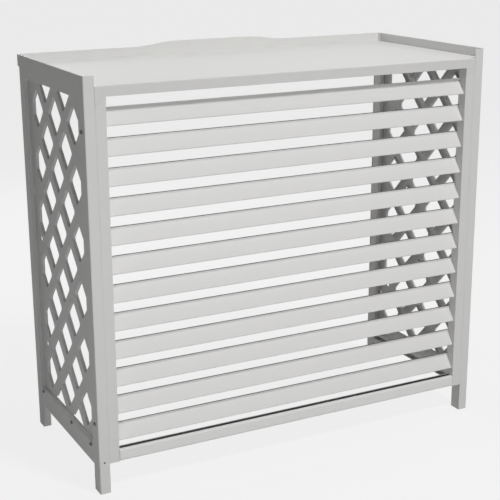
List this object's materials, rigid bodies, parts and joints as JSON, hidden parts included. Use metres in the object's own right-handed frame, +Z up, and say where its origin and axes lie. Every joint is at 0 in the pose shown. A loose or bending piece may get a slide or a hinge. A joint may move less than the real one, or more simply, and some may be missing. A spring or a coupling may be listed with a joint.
{
  "type": "air conditioner screen",
  "caption": "Free-standing sheet metal screen for an outdoor air conditioning unit, with a louvred front, lattice sides, a shallow top tray and an open back.",
  "frame": {"origin": "on the floor, in the middle of the footprint of the bounding box", "axes": "+X to the right along the louvred front, +Y from the front to the open back, +Z up"},
  "size_m": [1.0066, 0.448, 0.931],
  "materials": {
    "coated_sheet": "satin powder coat",
    "plug_plastic": "matt",
    "screw_steel": "dark zinc"
  },
  "bodies": {
    "root": {"left_front_post": "coated_sheet", "right_front_post": "coated_sheet", "left_rear_post": "coated_sheet", "right_rear_post": "coated_sheet", "left_lattice_side": "coated_sheet", "right_lattice_side": "coated_sheet", "left_lower_side_rail": "coated_sheet", "right_lower_side_rail": "coated_sheet", "left_louvre_stile": "coated_sheet", "right_louvre_stile": "coated_sheet", "bottom_rail": "coated_sheet", "louvre_blade_01": "coated_sheet", "louvre_blade_02": "coated_sheet", "louvre_blade_03": "coated_sheet", "louvre_blade_04": "coated_sheet", "louvre_blade_05": "coated_sheet", "louvre_blade_06": "coated_sheet", "louvre_blade_07": "coated_sheet", "louvre_blade_08": "coated_sheet", "louvre_blade_09": "coated_sheet", "louvre_blade_10": "coated_sheet", "louvre_blade_11": "coated_sheet", "louvre_blade_12": "coated_sheet", "top_tray": "coated_sheet", "rear_crest": "coated_sheet", "left_front_foot_plug": "plug_plastic", "right_front_foot_plug": "plug_plastic", "left_rear_foot_plug": "plug_plastic", "right_rear_foot_plug": "plug_plastic", "left_frame_screw_1": "screw_steel", "left_frame_screw_2": "screw_steel", "right_frame_screw_1": "screw_steel", "right_frame_screw_2": "screw_steel", "left_rail_screw_1": "screw_steel", "left_rail_screw_2": "screw_steel", "left_rail_screw_3": "screw_steel", "right_rail_screw_1": "screw_steel", "right_rail_screw_2": "screw_steel", "right_rail_screw_3": "screw_steel"}
  },
  "joints": []
}
